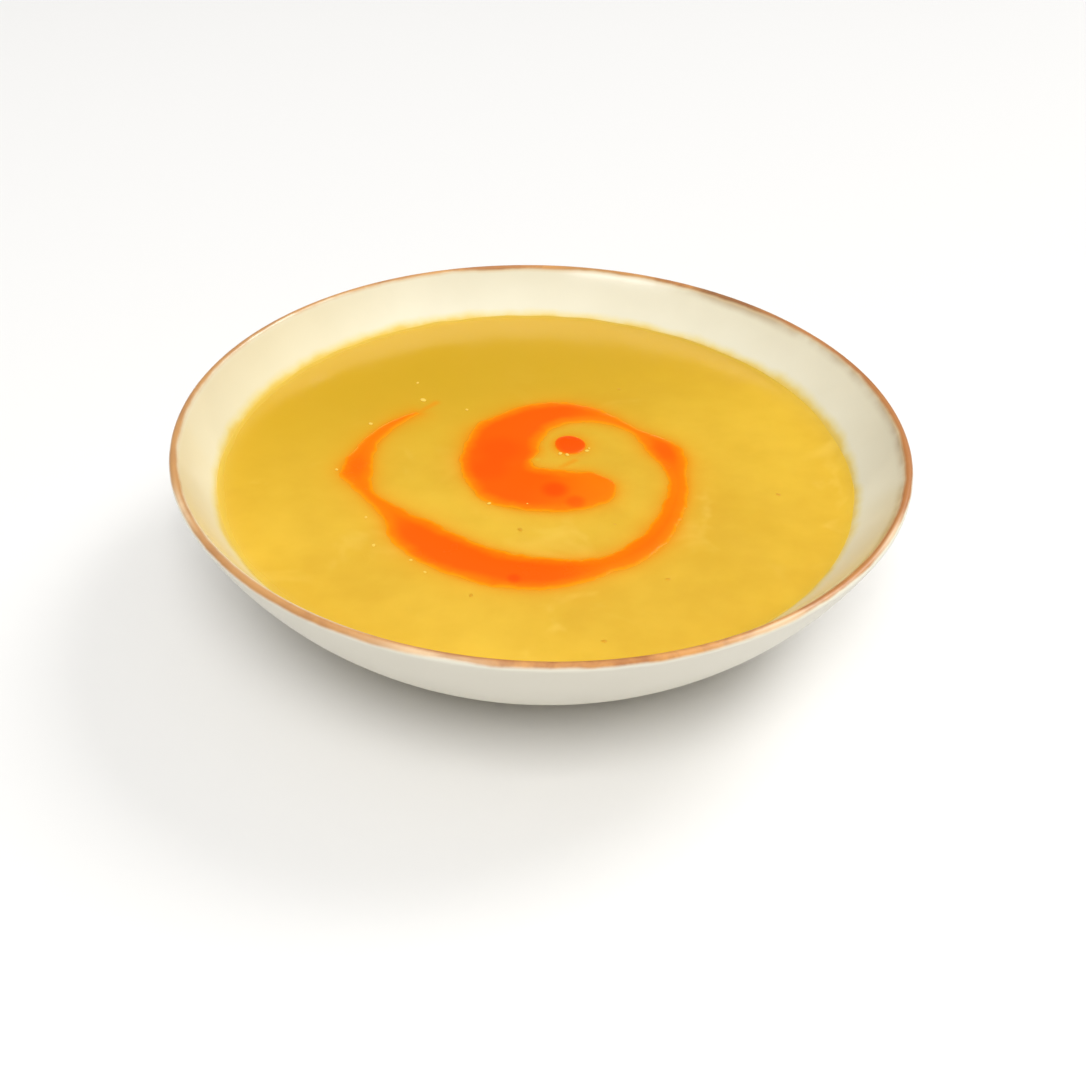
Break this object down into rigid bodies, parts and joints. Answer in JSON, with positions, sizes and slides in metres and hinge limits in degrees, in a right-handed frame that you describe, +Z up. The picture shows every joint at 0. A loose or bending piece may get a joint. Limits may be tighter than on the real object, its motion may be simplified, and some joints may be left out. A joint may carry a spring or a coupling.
{
  "type": "bowl of lentil soup",
  "caption": "Wide shallow stoneware bowl with a rounded brown lip and low foot ring, filled with smooth yellow lentil soup that carries a spiral ribbon and a drop of orange spiced oil.",
  "frame": {"origin": "middle of the circle that the foot ring stands on, at table level", "axes": "+Z up, -Y towards the person who eats, +X to that person's right"},
  "size_m": [0.2, 0.2, 0.0506],
  "materials": {
    "stoneware": "cream satin glaze that breaks to iron brown on the lip, bare clay on the foot ring",
    "soup": "smooth wet puree with a soft sheen",
    "ribbon_oil": "glossy orange oil with soft edges",
    "drop_oil": "glossy deep orange oil"
  },
  "bodies": {
    "root": {"bowl": "stoneware", "soup": "soup", "oil_ribbon": "ribbon_oil", "oil_drop": "drop_oil"}
  },
  "joints": []
}
